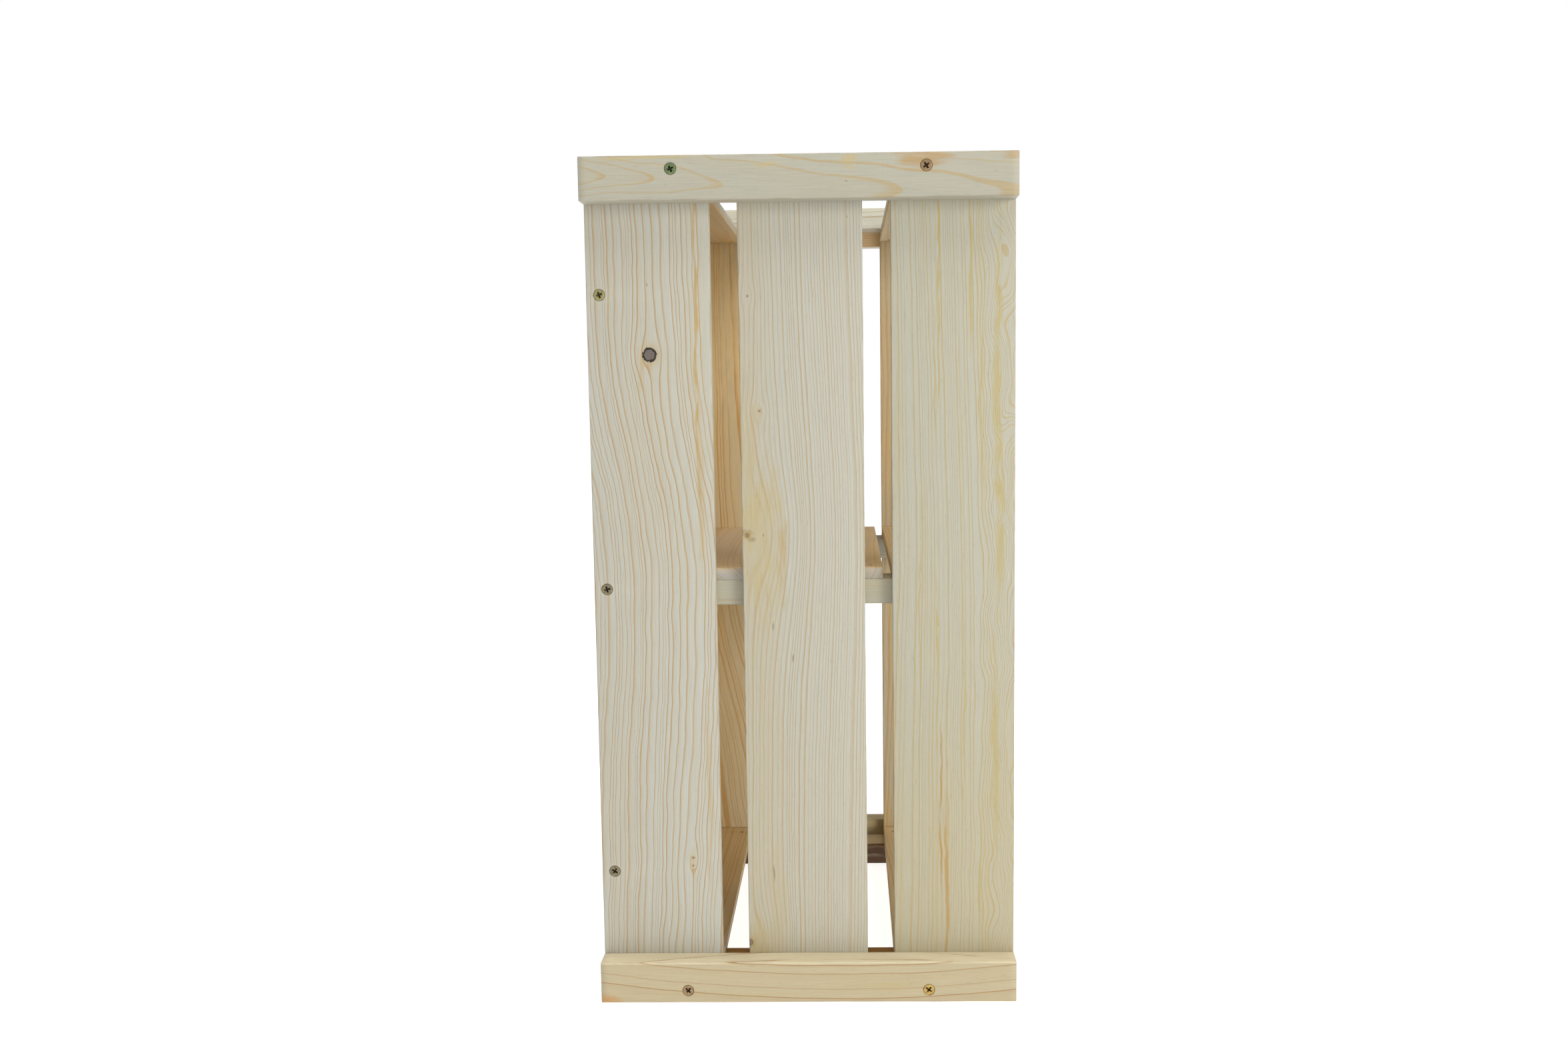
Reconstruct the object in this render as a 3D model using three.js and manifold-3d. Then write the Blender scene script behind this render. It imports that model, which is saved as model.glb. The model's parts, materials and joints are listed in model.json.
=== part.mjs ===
// A slatted apple crate in planed softwood, with a middle shelf, standing on one end so that its long side
// is upright. Millimetres, +Z up, with the origin on the floor under the middle of the crate. The open side
// faces -Y, the back wall is at +Y, and the two side walls face -X and +X.
//
// Every wall is thin boards on stout laths. A side wall's boards are pinched at each end between an outer
// batten and a lath of the end wall, and two screws through the batten draw the three together. Screws
// through the rear board of each side wall hold the back wall's laths, and nails hold the shelf's boards.
import * as THREE from "three";
import { mergeVertices } from "three/addons/utils/BufferGeometryUtils.js";
import Module from "manifold-3d";

const wasm = await Module();
wasm.setup();

// Driving dimensions.
const HEIGHT = 600;
const WIDTH = 350; // over the outer battens
const DEPTH = 300;
const BOARD_WIDE = 87;
const BOARD_THICK = 8;
const LATH_WIDE = 30;
const LATH_THICK = 18;
const BACK_LATH_SPACING = 208; // from the back wall's middle lath to the ones above and below it
const EASED_EDGE = 0.8;

// Fasteners. Each profile is [radius, depth below its face], and the hole is larger than it all over.
const SCREW_SIDES = 16;
const NAIL_SIDES = 10;
const SUNK = 0.2; // a head's face lies this far below the wood
const CLEARANCE = 0.3;
const HEAD_RADIUS = 4;
const HEAD_RIM = 0.3;
const HEAD_DEPTH = 2.6;
const SHANK_RADIUS = 1.9;
const SCREW_TIP = 5;
const RECESS_DEPTH = 2;
const RECESS_REACH = 2.3;
const RECESS_SLOT = 0.9;
const BATTEN_SCREW_LENGTH = 45;
const BATTEN_SCREW_ALONG = 87; // from the batten's middle
const BACK_SCREW_LENGTH = 40;
const NAIL_HEAD_RADIUS = 1.6;
const NAIL_HEAD_DEPTH = 0.8;
const NAIL_RADIUS = 0.8;
const NAIL_TIP = 2;
const NAIL_LENGTH = 20;
const NAIL_ALONG = 35; // from the board's middle

// Faces and middle lines that the pieces share.
const WALL_OUT = WIDTH / 2 - LATH_THICK; // outer face of the side boards
const WALL_IN = WALL_OUT - BOARD_THICK;
const INSIDE_WIDTH = 2 * WALL_IN;
const FRONT = -DEPTH / 2;
const BACK = DEPTH / 2;
const BACK_BOARD_OUT = BACK - LATH_THICK;
const BACK_BOARD_IN = BACK_BOARD_OUT - BOARD_THICK;
const END_THICK = LATH_THICK + BOARD_THICK;
const SHELF_LOW = (HEIGHT - END_THICK) / 2;
const SHELF_BOARD_LOW = SHELF_LOW + LATH_THICK;
const SHELF_TOP = SHELF_LOW + END_THICK;
const LATH_X = WALL_IN - LATH_WIDE / 2;
const BATTEN_X = WALL_OUT + LATH_THICK / 2;
const BACK_LATH_Y = BACK - LATH_THICK / 2;
const END_LATH_MIDDLE = LATH_THICK / 2;

const SIDES = [
  ["left", -1],
  ["right", 1],
];
const ENDS = [
  ["lower", (fromEnd) => fromEnd],
  ["upper", (fromEnd) => HEIGHT - fromEnd],
];
const ROWS = ["front", "middle", "back"];
const COLUMNS = ["left", "middle", "right"];
const BACK_LATH_HEIGHTS = [
  ["lower", HEIGHT / 2 - BACK_LATH_SPACING],
  ["middle", HEIGHT / 2],
  ["upper", HEIGHT / 2 + BACK_LATH_SPACING],
];

const boardWood = new THREE.MeshStandardMaterial({ color: 0xd9cfae, roughness: 0.62, metalness: 0 });
const lathWood = new THREE.MeshStandardMaterial({ color: 0xd6c9a3, roughness: 0.66, metalness: 0 });
const yellowZinc = new THREE.MeshStandardMaterial({ color: 0x9a8c5c, roughness: 0.38, metalness: 0.9 });
const brightSteel = new THREE.MeshStandardMaterial({ color: 0x9c9c98, roughness: 0.42, metalness: 0.9 });

const crate = new THREE.Group();
const holes = []; // one for each fastener, where it sits in the crate

function solidOf(geometry) {
  const bare = geometry.clone();
  for (const name of Object.keys(bare.attributes)) {
    if (name !== "position") bare.deleteAttribute(name);
  }
  const merged = mergeVertices(bare, 1e-3);
  const vertProperties = merged.attributes.position.array;
  const triVerts = new Uint32Array(merged.index.array);
  return new wasm.Manifold(new wasm.Mesh({ numProp: 3, vertProperties, triVerts }));
}

function geometryOf(solid) {
  const made = solid.getMesh();
  const geometry = new THREE.BufferGeometry();
  geometry.setAttribute("position", new THREE.BufferAttribute(new Float32Array(made.vertProperties), 3));
  geometry.setIndex(new THREE.BufferAttribute(new Uint32Array(made.triVerts), 1));
  return geometry.toNonIndexed();
}

function add(name, geometry, material, [x, y, z]) {
  geometry.computeVertexNormals();
  const mesh = new THREE.Mesh(geometry, material);
  mesh.name = name;
  mesh.position.set(x, y, z);
  crate.add(mesh);
}

// A planed stick centred on the origin. Its four long edges are eased.
function stick(size) {
  const along = size.indexOf(Math.max(...size));
  const [second, third] = [(along + 1) % 3, (along + 2) % 3];
  const [u, v] = [size[second] / 2, size[third] / 2];
  const e = EASED_EDGE;
  const corners = [
    [-u + e, -v],
    [u - e, -v],
    [u, -v + e],
    [u, v - e],
    [u - e, v],
    [-u + e, v],
    [-u, v - e],
    [-u, -v + e],
  ];
  const section = new THREE.Shape(corners.map(([a, b]) => new THREE.Vector2(a, b)));
  const geometry = new THREE.ExtrudeGeometry(section, { depth: size[along], bevelEnabled: false });
  geometry.translate(0, 0, -size[along] / 2);
  const axes = [0, 1, 2].map((axis) => new THREE.Vector3().setComponent(axis, 1));
  return geometry.applyMatrix4(new THREE.Matrix4().makeBasis(axes[second], axes[third], axes[along]));
}

// A stick with its middle at the given place, bored for every fastener that enters it.
function timber(name, material, size, middle) {
  const enters = ({ min, max }) =>
    size.every((side, axis) => min[axis] < middle[axis] + side / 2 && max[axis] > middle[axis] - side / 2);
  const boring = holes.filter((hole) => enters(hole.boundingBox()));
  let geometry = stick(size);
  if (boring.length > 0) {
    const back = middle.map((value) => -value);
    const bored = boring.reduce((wood, hole) => wood.subtract(hole.translate(back)), solidOf(geometry));
    geometry = geometryOf(bored);
  }
  add(name, geometry, material, middle);
}

// An outline turned about Y, with its face at the origin and its point down -Y.
function turned(outline, sides) {
  const points = outline.map(([radius, depth]) => new THREE.Vector2(radius, -depth));
  return new THREE.LatheGeometry(points.reverse(), sides);
}

function screwOutline(length, grow = 0) {
  return [
    [0, -grow],
    [HEAD_RADIUS + grow, -grow],
    [HEAD_RADIUS + grow, HEAD_RIM],
    [SHANK_RADIUS + grow, HEAD_DEPTH],
    [SHANK_RADIUS + grow, length - SCREW_TIP],
    [0, length + grow],
  ];
}

function nailOutline(grow = 0) {
  return [
    [0, -grow],
    [NAIL_HEAD_RADIUS + grow, -grow],
    [NAIL_HEAD_RADIUS + grow, NAIL_HEAD_DEPTH + grow],
    [NAIL_RADIUS + grow, NAIL_HEAD_DEPTH + grow],
    [NAIL_RADIUS + grow, NAIL_LENGTH - NAIL_TIP],
    [0, NAIL_LENGTH + grow],
  ];
}

// The cross cut in a screw's head: two slots that narrow with depth.
function recess() {
  const slots = [Math.PI / 4, -Math.PI / 4].map((turn) => {
    const wedge = new THREE.CylinderGeometry(RECESS_REACH, RECESS_SLOT / 2, 2 * RECESS_DEPTH, 4);
    wedge.rotateY(Math.PI / 4);
    wedge.scale(1, 1, RECESS_SLOT / RECESS_REACH);
    return solidOf(wedge.rotateY(turn));
  });
  return slots[0].add(slots[1]);
}

// Adds a fastener whose face is at the given place, turned to point into the wood, and keeps its hole.
function fasten(name, body, hole, material, place, turn) {
  const matrix = new THREE.Matrix4().makeTranslation(...place).multiply(turn);
  holes.push(solidOf(hole.applyMatrix4(matrix)));
  add(name, body.applyMatrix4(turn), material, place);
}

function screw(name, side, faceX, y, z, length) {
  const body = solidOf(turned(screwOutline(length), SCREW_SIDES)).subtract(recess());
  const hole = turned(screwOutline(length, CLEARANCE), SCREW_SIDES);
  const turn = new THREE.Matrix4().makeRotationZ((-side * Math.PI) / 2);
  fasten(name, geometryOf(body), hole, yellowZinc, [side * (faceX - SUNK), y, z], turn);
}

function shelfNail(name, x, y) {
  const turn = new THREE.Matrix4().makeRotationX(Math.PI / 2);
  const body = turned(nailOutline(), NAIL_SIDES);
  const hole = turned(nailOutline(CLEARANCE), NAIL_SIDES);
  fasten(name, body, hole, brightSteel, [x, y, SHELF_TOP - SUNK], turn);
}

// Middles of three boards spread evenly between two faces, from low to high.
function spread(low, high) {
  const step = (high - low - BOARD_WIDE) / 2;
  return [0, 1, 2].map((i) => low + BOARD_WIDE / 2 + i * step);
}

function driveFasteners() {
  for (const [sideName, side] of SIDES) {
    for (const [endName, at] of ENDS) {
      for (const [row, y] of [["front", -BATTEN_SCREW_ALONG], ["back", BATTEN_SCREW_ALONG]]) {
        const name = `${sideName}_${endName}_batten_screw_${row}`;
        screw(name, side, WIDTH / 2, y, at(END_LATH_MIDDLE), BATTEN_SCREW_LENGTH);
      }
    }
    for (const [level, z] of BACK_LATH_HEIGHTS) {
      screw(`${sideName}_back_lath_screw_${level}`, side, WALL_OUT, BACK_LATH_Y, z, BACK_SCREW_LENGTH);
    }
    spread(FRONT, BACK_BOARD_IN).forEach((y, i) => {
      shelfNail(`${sideName}_shelf_nail_${ROWS[i]}_a`, side * LATH_X, y - NAIL_ALONG);
      shelfNail(`${sideName}_shelf_nail_${ROWS[i]}_b`, side * LATH_X, y + NAIL_ALONG);
    });
  }
}

function sideWalls() {
  for (const [sideName, side] of SIDES) {
    spread(FRONT, BACK).forEach((y, i) => {
      const middle = [side * (WALL_OUT - BOARD_THICK / 2), y, HEIGHT / 2];
      timber(`${sideName}_side_board_${ROWS[i]}`, boardWood, [BOARD_THICK, BOARD_WIDE, HEIGHT], middle);
    });
    for (const [endName, at] of ENDS) {
      const middle = [side * BATTEN_X, 0, at(LATH_WIDE / 2)];
      timber(`${sideName}_${endName}_batten`, lathWood, [LATH_THICK, DEPTH, LATH_WIDE], middle);
    }
  }
}

function endWalls() {
  for (const [endName, at] of ENDS) {
    for (const [sideName, side] of SIDES) {
      const middle = [side * LATH_X, 0, at(END_LATH_MIDDLE)];
      timber(`${endName}_end_lath_${sideName}`, lathWood, [LATH_WIDE, DEPTH, LATH_THICK], middle);
    }
    spread(FRONT, BACK).forEach((y, i) => {
      const middle = [0, y, at(LATH_THICK + BOARD_THICK / 2)];
      timber(`${endName}_end_board_${ROWS[i]}`, boardWood, [INSIDE_WIDTH, BOARD_WIDE, BOARD_THICK], middle);
    });
  }
}

function shelf() {
  const reach = BACK_BOARD_IN - FRONT;
  for (const [sideName, side] of SIDES) {
    const middle = [side * LATH_X, FRONT + reach / 2, SHELF_LOW + LATH_THICK / 2];
    timber(`shelf_lath_${sideName}`, lathWood, [LATH_WIDE, reach, LATH_THICK], middle);
  }
  spread(FRONT, BACK_BOARD_IN).forEach((y, i) => {
    const middle = [0, y, SHELF_BOARD_LOW + BOARD_THICK / 2];
    timber(`shelf_board_${ROWS[i]}`, boardWood, [INSIDE_WIDTH, BOARD_WIDE, BOARD_THICK], middle);
  });
}

function backWall() {
  for (const [level, z] of BACK_LATH_HEIGHTS) {
    timber(`back_lath_${level}`, lathWood, [INSIDE_WIDTH, LATH_THICK, LATH_WIDE], [0, BACK_LATH_Y, z]);
  }
  const size = [BOARD_WIDE, BOARD_THICK, HEIGHT - 2 * END_THICK];
  spread(-WALL_IN, WALL_IN).forEach((x, i) => {
    timber(`back_board_${COLUMNS[i]}`, boardWood, size, [x, BACK_BOARD_OUT - BOARD_THICK / 2, HEIGHT / 2]);
  });
}

driveFasteners();
sideWalls();
endWalls();
shelf();
backWall();

export default crate;
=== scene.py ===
import json
import math
import random

import bmesh
import bpy
from mathutils import Matrix, Vector


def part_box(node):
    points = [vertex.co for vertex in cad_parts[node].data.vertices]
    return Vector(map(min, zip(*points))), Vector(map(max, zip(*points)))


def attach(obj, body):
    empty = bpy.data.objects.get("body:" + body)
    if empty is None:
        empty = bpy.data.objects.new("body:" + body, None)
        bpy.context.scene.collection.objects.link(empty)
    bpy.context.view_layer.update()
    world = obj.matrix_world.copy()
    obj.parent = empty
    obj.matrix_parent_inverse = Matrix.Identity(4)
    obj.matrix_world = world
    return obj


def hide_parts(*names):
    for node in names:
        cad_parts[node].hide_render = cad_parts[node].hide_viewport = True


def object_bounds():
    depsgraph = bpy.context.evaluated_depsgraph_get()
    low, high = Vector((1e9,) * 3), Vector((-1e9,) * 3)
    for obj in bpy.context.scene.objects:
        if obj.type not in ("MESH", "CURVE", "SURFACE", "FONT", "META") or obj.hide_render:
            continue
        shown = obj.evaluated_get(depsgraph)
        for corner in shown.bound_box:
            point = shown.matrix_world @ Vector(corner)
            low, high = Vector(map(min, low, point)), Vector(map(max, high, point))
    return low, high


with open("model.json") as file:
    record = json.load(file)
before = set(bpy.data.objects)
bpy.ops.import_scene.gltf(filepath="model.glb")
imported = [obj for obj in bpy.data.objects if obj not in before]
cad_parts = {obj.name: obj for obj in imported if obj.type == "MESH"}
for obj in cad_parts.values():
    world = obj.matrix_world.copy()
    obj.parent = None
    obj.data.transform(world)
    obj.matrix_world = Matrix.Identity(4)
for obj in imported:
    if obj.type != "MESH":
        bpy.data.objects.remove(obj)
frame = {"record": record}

cad_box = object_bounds()
MM = 0.001

# ---------------------------------------------------------------- camera, light and floor

CAMERA_AT = Vector((-1.1358, -0.0317, 0.4412))
CAMERA_HEADING = math.radians(-90 + 1.02)  # nearly along +X
CAMERA_DOWN = math.radians(6.04)
CAMERA_ROLL = math.radians(-0.64)
LENS = 31.83
SENSOR = 36
CLIP_START = 0.02
SHIFT = (-0.0252, 0.0081)

# Soft lights: one in front of the open side and to its left, which reaches the inside of the far wall,
# one overhead and one behind. Each is (name, place, aim, size, watts, colour).
LIGHTS = (
    ("front", (-3.5, -4.0, 1.5), (0.0, 0.0, 0.3), (2.4, 2.0), 165, (1.0, 0.985, 0.95)),
    ("top", (-0.55, -0.3, 2.6), (0.0, 0.0, 0.3), (1.6, 1.6), 50, (1.0, 0.985, 0.96)),
    ("back", (3.4, 4.2, 1.7), (0.0, 0.0, 0.3), (2.4, 2.0), 95, (1.0, 0.985, 0.955)),
)

# The backdrop looks white, but the light that the room sends back is weaker and a little warm.
ROOM_LIGHT = (0.38, 0.368, 0.353, 1.0)
BACKDROP = (1.0, 1.0, 1.0, 1.0)

# The floor glows a little by itself, so it stays pale round the crate.
FLOOR_SIDE = 30.0
FLOOR_BASE = (0.5, 0.5, 0.5, 1.0)
FLOOR_GLOW = 0.825
FLOOR_ROUGH = 0.9


def make_camera():
    data = bpy.data.cameras.new("camera")
    data.sensor_width = SENSOR
    data.lens = LENS
    data.shift_x, data.shift_y = SHIFT
    data.clip_start = CLIP_START
    camera = bpy.data.objects.new("camera", data)
    turn = Matrix.Rotation(CAMERA_HEADING, 4, "Z")
    tip = Matrix.Rotation(math.pi / 2 - CAMERA_DOWN, 4, "X")
    roll = Matrix.Rotation(CAMERA_ROLL, 4, "Z")
    camera.matrix_world = Matrix.Translation(CAMERA_AT) @ turn @ tip @ roll
    bpy.context.scene.collection.objects.link(camera)
    bpy.context.scene.camera = camera


def light_scene():
    """The soft lights, and a view that shows every colour as it is."""
    for name, place, aim, size, watts, tone in LIGHTS:
        data = bpy.data.lights.new(name, "AREA")
        data.shape = "RECTANGLE"
        data.size, data.size_y = size
        data.energy = watts
        data.color = tone
        light = bpy.data.objects.new(name, data)
        light.location = place
        light.rotation_euler = (Vector(aim) - Vector(place)).to_track_quat("-Z", "Y").to_euler()
        bpy.context.scene.collection.objects.link(light)
    bpy.context.scene.view_settings.view_transform = "Standard"


def light_room():
    """A world that the camera sees as the backdrop, and everything else as the room's light."""
    world = bpy.data.worlds.new("room")
    world.use_nodes = True
    nodes, links = world.node_tree.nodes, world.node_tree.links
    seen = nodes.new("ShaderNodeMix")
    seen.data_type = "RGBA"
    seen.inputs["A"].default_value = ROOM_LIGHT
    seen.inputs["B"].default_value = BACKDROP
    links.new(nodes.new("ShaderNodeLightPath").outputs["Is Camera Ray"], seen.inputs["Factor"])
    links.new(seen.outputs["Result"], nodes["Background"].inputs["Color"])
    bpy.context.scene.world = world


# ---------------------------------------------------------------- building node materials


class Nodes:
    """Adds shader nodes to one material. A socket or a number can be given for any input."""

    def __init__(self, material):
        material.use_nodes = True
        self.tree = material.node_tree
        self.tree.nodes.clear()

    def node(self, kind, inputs=(), **settings):
        made = self.tree.nodes.new(kind)
        for key, value in settings.items():
            setattr(made, key, value)
        for key, value in dict(inputs).items():
            self.put(made.inputs[key], value)
        return made

    def put(self, socket, value):
        if isinstance(value, bpy.types.NodeSocket):
            self.tree.links.new(value, socket)
        else:
            socket.default_value = value

    def math(self, operation, *values, clamp=False):
        made = self.node("ShaderNodeMath", operation=operation, use_clamp=clamp)
        for socket, value in zip(made.inputs, values):
            self.put(socket, value)
        return made.outputs[0]

    def plus(self, *values):
        made = values[0]
        for value in values[1:]:
            made = self.math("ADD", made, value)
        return made

    def minus(self, first, second):
        return self.math("SUBTRACT", first, second)

    def times(self, *values):
        made = values[0]
        for value in values[1:]:
            made = self.math("MULTIPLY", made, value)
        return made

    def inverse(self, share):
        return self.math("SUBTRACT", 1.0, share)

    def scaled(self, vector, by):
        return self.node("ShaderNodeVectorMath", {0: vector, "Scale": by}, operation="SCALE").outputs[0]

    def stretched(self, at, scales, shift):
        """The place at, times a scale on each axis, moved by shift so that no two patterns agree."""
        return self.node(
            "ShaderNodeVectorMath",
            {0: at, 1: scales, 2: (shift, 0.37 * shift, 1.71 * shift)},
            operation="MULTIPLY_ADD",
        ).outputs[0]

    def noise(self, at, scales, shift, detail=2.0):
        """Noise from about -1 to 1."""
        inputs = {"Vector": self.stretched(at, scales, shift), "Scale": 1.0, "Detail": detail}
        return self.node("ShaderNodeTexNoise", inputs, normalize=False).outputs[0]

    def steps(self, value, low, high):
        """0 below low and 1 above high, or the reverse if low is the higher."""
        if low > high:
            return self.inverse(self.steps(value, high, low))
        inputs = {"Value": value, "From Min": low, "From Max": high}
        return self.node("ShaderNodeMapRange", inputs, interpolation_type="SMOOTHSTEP").outputs[0]

    def blend(self, share, first, second, mode="MIX"):
        made = self.node("ShaderNodeMix", data_type="RGBA", blend_type=mode)
        self.put(made.inputs[0], share)
        self.put(made.inputs[6], first)
        self.put(made.inputs[7], second)
        return made.outputs[2]

    def surface(self, **inputs):
        shader = self.node("ShaderNodeBsdfPrincipled", inputs)
        output = self.node("ShaderNodeOutputMaterial")
        self.tree.links.new(shader.outputs[0], output.inputs[0])


def colour(red, green, blue):
    """A shader colour from the 0 to 255 values of a screen."""

    def linear(value):
        share = value / 255
        return share / 12.92 if share < 0.04045 else ((share + 0.055) / 1.055) ** 2.4

    return (linear(red), linear(green), linear(blue), 1.0)


def dimmed(base, share):
    return tuple(share * value for value in base[:3]) + (1.0,)


# ---------------------------------------------------------------- pine

# A surface that looks white in this light has this base colour.
LIT = (0.75, 0.783, 0.82)


def wood(red, green, blue):
    """The base colour of a timber that looks like this on the lit side of the crate."""
    return tuple(value * share for value, share in zip(colour(red, green, blue), LIT)) + (1.0,)


EARLY = wood(197, 193, 178)  # the pale wood that grows in spring
LATE = wood(184, 151, 98)  # the dark line that closes each year's ring
AMBER = wood(197, 176, 124)  # resin
BLUSH = wood(198, 180, 142)
ORANGE = wood(192, 160, 100)
INSIDE_WOOD_AND_BOUNCE = (1.50, 1.25, 0.87, 1.0)  # multiplies the colour of the faces that look into the crate: partly their fresher wood, partly painted warm bounce light
END_GRAIN = wood(182, 174, 160)
KNOT = wood(124, 114, 104)
KNOT_RIM = wood(30, 20, 15)
SPECK = wood(122, 96, 64)
DASH = wood(140, 126, 104)
# Painted shade: the dark brown of the deep shadow under the lower end boards.
UNDER_BOARD_SHADE = wood(92, 62, 36)

# How fine each pattern in the wood is, in waves per millimetre (along, across and into the stick).
DRIFT_SCALE = (0.0045, 0.010, 0.010)
WOBBLE_SCALE = (0.022, 0.035, 0.035)
FLAME_SCALE = (0.020, 0.030, 0.030)
FIBRE_SCALE = (0.045, 2.1, 2.1)
PATCH_SCALE = (0.004, 0.030, 0.030)
RESIN_SCALE = (0.0055, 0.16, 0.16)
TORN_SCALE = (0.05, 0.25, 0.25)
STRAY_SCALE = (0.028, 0.02, 0.02)
SPECK_SCALE = (0.022, 0.055, 0.055)
CANAL_SCALE = (0.16, 1.5, 1.5)
PLUG_SCALE = (0.5, 0.5, 0.5)
RUBBED_SCALE = (0.05, 0.05, 0.05)

# The values of the noise where a pattern begins and where it is full.
PATCH_BAND = (-0.15, 0.55)
RESIN_BAND = (0.20, 0.62)
CANAL_BAND = (0.52, 0.75)
RUBBED_BAND = (-0.2, 0.5)

# The rings. A season runs from 0 to 1 over one year's growth.
BOW_SPAN = 150  # mm from the middle, where a stick's bow is measured
PACE_SCALE = 0.07  # how soon fat years turn to lean ones, per mm
PACE_YEARS = 1.1  # how many rings that moves the pattern by
LINE_MOST = 1.1  # how dark the darkest line is
SUMMER_FROM = 0.25
SUMMER_DARK = 0.16
AUTUMN_FROM, AUTUMN_FULL = 1.5, 0.45  # back from the year's end, times the look's thin
AUTUMN_DARK = 0.84
WINTER_FROM = 0.97  # where the dark line starts to end

# A knot. The lengths that have no unit are shares of its disc's radius.
PLUG_ROUGH = 0.14
PLUG_EDGE = (0.1, -0.4)  # mm past the disc's radius, where the plug begins and where it is full
PLUG_LEAST = 0.45  # how far a knot that isn't dark hides the wood
HALO_REACH = 2.2
HALO_SHARE = 0.5
KNOT_RING_PACE = 5.0  # radians per mm
KNOT_RING_DARK, KNOT_SHADE = 0.15, 0.25
RIM_FROM, RIM_FULL = 0.62, 0.8

# Stains, marks and wear, and the spots of painted light and shade that share the stains' code.
FOOT_BAND = (0.1, -0.5)  # shares of the length, from the middle up, where the foot begins and is full
TORN_EDGE = 0.7  # how ragged a spot's edge is
STRAY = 2.2  # mm, about how far a spot wanders across the stick
SPOT_EDGE = (1.25, -0.25)  # squares of a share of its size, where a spot begins and where it is full
SPECK_LEFT_OUT = 0.62  # the share of places with no speck
SPECK_EDGE = (0.034, 0.012)
SPECK_SHARE = 0.6
CANAL_SHARE = 0.22
END_DEPTH = (0.5, 0.25)  # mm from a sawn end, where end grain begins and where it is full
END_SHARE = 0.85
END_LINES = 0.5
ARRIS_BAND = (1.1, 0.2)  # mm from an edge, where its wear begins and where it is full
RUBBED_SHARE = 0.35
INNER_BAND = (4.0, 1.0)  # mm from the inner face, where its colour begins and where it is full
INNER_LEAST, INNER_UNEVEN = 0.8, 0.3

# The surface.
FIBRE_LIGHT = 0.075  # how far the fibres change the colour
PLANER_PITCH = 1.9  # mm between two marks of the planing knives
PLANER_DEEP = 0.07
BUMP_STRENGTH = 0.55
BUMP_HEIGHT = 0.16 * MM
FIBRE_BUMP, LINE_BUMP = 0.5, 0.45
WOOD_ROUGH = 0.6
FIBRE_ROUGH, LINE_ROUGH, END_ROUGH = 0.08, -0.07, 0.15
WOOD_SHINE = 0.35

# How one stick was cut from its log. Lengths are in millimetres, shares are 0 to 1, and a place on the
# stick is (along, across) from the middle of its face.
PINE = {
    "seed": 0.0,
    "spacing": 3.2,  # one year's growth
    "thin": 0.22,  # the share of it that is dark
    "pith": (60.0, -40.0),  # the log's centre line, across the stick and below its face
    "lean": 0.0,  # how far the grain drifts across, per mm along
    "tilt": 0.0,  # how far the pith sinks, per mm along
    "bow": 0.0,  # how far across the grain has bent at BOW_SPAN from the middle
    "sways": (),  # (how far it steps across, from where along, to where)
    "flame": (0.0, 0.0, 1.0),  # how far the grain ripples, from where across, to where
    "drift": 5.0,  # slow wandering
    "wobble": 0.7,  # quick wandering
    "lines": 0.6,  # how dark the lines are
    "luck": 0.7,  # how much one year's line differs from the next
    "resin": 0.2,  # how far streaks of resin show
    "blush": 0.25,  # how far warmer patches show
    "tint": (0.0, 0.0, 1.0, BLUSH),  # a side of another colour, for stains and for painted light: share, from where across, to where, colour
    "foot": 0.0,  # how far the lower end turns yellow
    "inside": 0.0,  # how far the face that looks into the crate differs from the rest: partly fresher wood, partly painted warm bounce light
    "inner": INSIDE_WOOD_AND_BOUNCE,  # and what multiplies its colour
    "early": EARLY,
    "late": LATE,
    "knots": (),
    "spots": (),
    "ragged": 0.25,  # how deep the nicks in its edges are
}


def knot(at, flow, disc, stretch, dark, halo=1.0, soft=0.8):
    """A knot pushes the rings aside as far as flow, and shows as a plug of the disc's radius."""
    shape = {"at": at, "flow": flow, "disc": disc, "stretch": stretch, "soft": soft}
    return {**shape, "halo": halo, "dark": dark}


def spot(at, size, share, tint):
    """A soft patch of colour that reaches as far as its size (along, across) each way from its place. It
    serves stains, and patches of painted light and shade.
    """
    return {"at": at, "size": size, "share": share, "tint": tint}


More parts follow.
